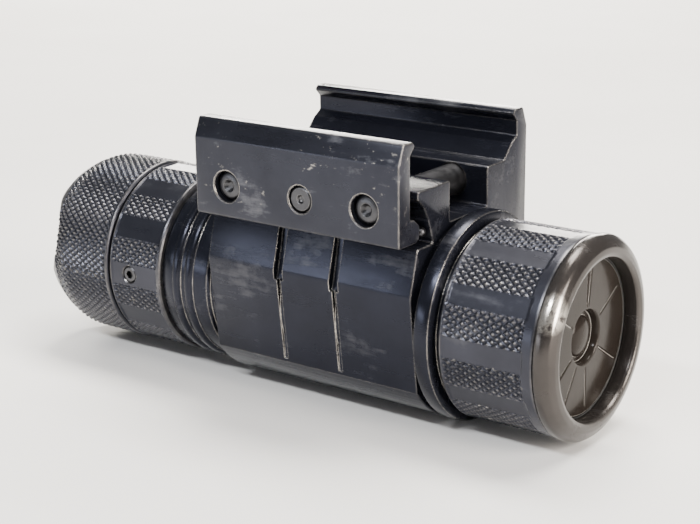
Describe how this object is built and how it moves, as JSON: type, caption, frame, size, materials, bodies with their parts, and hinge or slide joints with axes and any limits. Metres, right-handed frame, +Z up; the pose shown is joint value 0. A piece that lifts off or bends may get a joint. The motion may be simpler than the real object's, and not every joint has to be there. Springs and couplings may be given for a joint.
{
  "type": "rail-mounted flashlight",
  "caption": "Short round metal flashlight with knurled head and tail cap, push button, and a two-jaw clamp on top that grips an accessory rail.",
  "frame": {"origin": "middle of the rail clamp's length, on the plane the rail's top face seats on, midway between the jaws", "axes": "+X along the beam, out of the lens; +Z up, out of the clamp's open side; the torch's own axis runs along X 15.9 mm below the origin; the loose jaw is on the -Y side"},
  "size_m": [0.0748, 0.0258, 0.0334],
  "materials": {
    "anodised_body": "satin hard-anodised, worn edges",
    "anodised_plate": "satin hard-anodised, scuffed",
    "screw_steel": "blackened",
    "pin_steel": "bright",
    "seal_rubber": "matte",
    "button_rubber": "matte",
    "spring_wire": "bright",
    "cell_wrap": "gloss shrink sleeve",
    "switch_plastic": "moulded",
    "retainer_brass": "turned",
    "board_laminate": "solder mask",
    "sink_metal": "turned",
    "led_package": "clear dome on a pale package",
    "optic_plastic": "smooth moulded lens",
    "holder_plastic": "moulded"
  },
  "bodies": {
    "housing": {"body_housing": "anodised_body", "guide_pin": "pin_steel", "pivot_rod": "pin_steel", "tail_ring": "anodised_body", "tail_set_screw": "screw_steel", "battery_cell": "cell_wrap", "front_spring": "spring_wire", "driver_board": "board_laminate", "heat_sink": "sink_metal", "led_board": "board_laminate", "led_emitter": "led_package", "head_o_ring": "seal_rubber"},
    "loose_jaw": {"clamp_plate": "anodised_plate"},
    "screw_rear": {"clamp_screw_rear": "screw_steel"},
    "screw_front": {"clamp_screw_front": "screw_steel"},
    "cap_seal": {"cap_o_ring": "seal_rubber"},
    "cap": {"tail_cap": "anodised_body", "switch_body": "switch_plastic", "switch_retainer": "retainer_brass", "tail_spring": "spring_wire"},
    "button": {"tail_button": "button_rubber", "switch_plunger": "switch_plastic"},
    "optic_set": {"optic": "optic_plastic", "optic_holder": "holder_plastic"},
    "head": {"head_barrel": "anodised_body"},
    "bezel_seal": {"bezel_gasket": "seal_rubber"},
    "bezel": {"bezel_ring": "anodised_body"}
  },
  "joints": [
    {"name": "jaw_travel", "type": "slide", "parent": "housing", "child": "loose_jaw", "axis": [0, -1, 0], "range_m": [0, 0.0018]},
    {"name": "front_screw_turn", "type": "hinge", "parent": "housing", "child": "screw_front", "pos_m": [0.0095, 0, -0.002], "axis": [0, 1, 0], "range_deg": [0, 1080]},
    {"name": "rear_screw_turn", "type": "hinge", "parent": "housing", "child": "screw_rear", "pos_m": [-0.0095, 0, -0.002], "axis": [0, 1, 0], "range_deg": [0, 1080]},
    {"name": "cap_travel", "type": "slide", "parent": "housing", "child": "cap_seal", "axis": [-1, 0, 0], "range_m": [0, 0.0032]},
    {"name": "cap_turn", "type": "hinge", "parent": "cap_seal", "child": "cap", "pos_m": [-0.036, 0, -0.0159], "axis": [-1, 0, 0], "range_deg": [0, 1440]},
    {"name": "button_press", "type": "slide", "parent": "cap", "child": "button", "axis": [1, 0, 0], "range_m": [0, 0.0012], "stiffness_N_per_m": 120, "springref_m": -0.012},
    {"name": "head_travel", "type": "slide", "parent": "housing", "child": "optic_set", "axis": [1, 0, 0], "range_m": [0, 0.0032]},
    {"name": "head_turn", "type": "hinge", "parent": "optic_set", "child": "head", "pos_m": [0.023, 0, -0.0159], "axis": [1, 0, 0], "range_deg": [0, 1440]},
    {"name": "bezel_travel", "type": "slide", "parent": "head", "child": "bezel_seal", "axis": [1, 0, 0], "range_m": [0, 0.002]},
    {"name": "bezel_turn", "type": "hinge", "parent": "bezel_seal", "child": "bezel", "pos_m": [0.029, 0, -0.0159], "axis": [1, 0, 0], "range_deg": [0, 1440]}
  ],
  "couplings": [
    {"joint": "front_screw_turn", "follows": "jaw_travel", "rad_per_m": 10472},
    {"joint": "rear_screw_turn", "follows": "jaw_travel", "rad_per_m": 10472},
    {"joint": "cap_travel", "follows": "cap_turn", "m_per_rad": 0.00012732},
    {"joint": "head_travel", "follows": "head_turn", "m_per_rad": 0.00012732},
    {"joint": "bezel_travel", "follows": "bezel_turn", "m_per_rad": 0.00007957}
  ]
}
